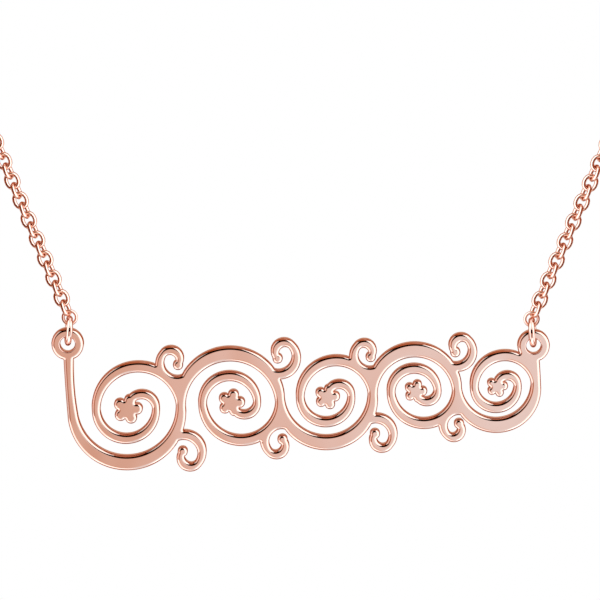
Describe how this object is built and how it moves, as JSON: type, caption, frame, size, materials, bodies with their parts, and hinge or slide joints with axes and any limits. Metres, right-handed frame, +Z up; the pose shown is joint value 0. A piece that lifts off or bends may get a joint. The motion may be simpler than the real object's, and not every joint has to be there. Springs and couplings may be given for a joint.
{
  "type": "nameplate necklace",
  "caption": "Cable chain necklace with a pierced scrollwork plate hung by an ear at each upper end, closed behind the neck by a ring clasp.",
  "frame": {"origin": "where the clasp lies on the nape, at the back of the loop", "axes": "+Z up, -Y forward, out of the plate's polished face, and +X to the right in the front view"},
  "size_m": [0.1134, 0.0985, 0.132],
  "materials": {
    "polished_rose_gold": "rose gold plate over silver, cut from sheet and polished, with rounded and buffed edges",
    "ring_rose_gold": "rose gold plated round wire, polished",
    "chain_rose_gold": "rose gold plated fine wire, bright but less so than the plate"
  },
  "bodies": {
    "chain_and_rings": {"left_jump_ring": "ring_rose_gold", "right_jump_ring": "ring_rose_gold", "left_end_link": "chain_rose_gold", "right_end_link": "chain_rose_gold", "left_chain": "chain_rose_gold", "right_chain": "chain_rose_gold", "left_clasp_ring": "ring_rose_gold", "right_clasp_ring": "ring_rose_gold", "clasp": "ring_rose_gold"},
    "plate": {"scroll_plate": "polished_rose_gold"}
  },
  "joints": [
    {"name": "plate_swing", "type": "hinge", "parent": "chain_and_rings", "child": "plate", "pos_m": [0, -0.095, -0.11499], "axis": [1, 0, 0], "range_deg": [-35, 35]}
  ]
}
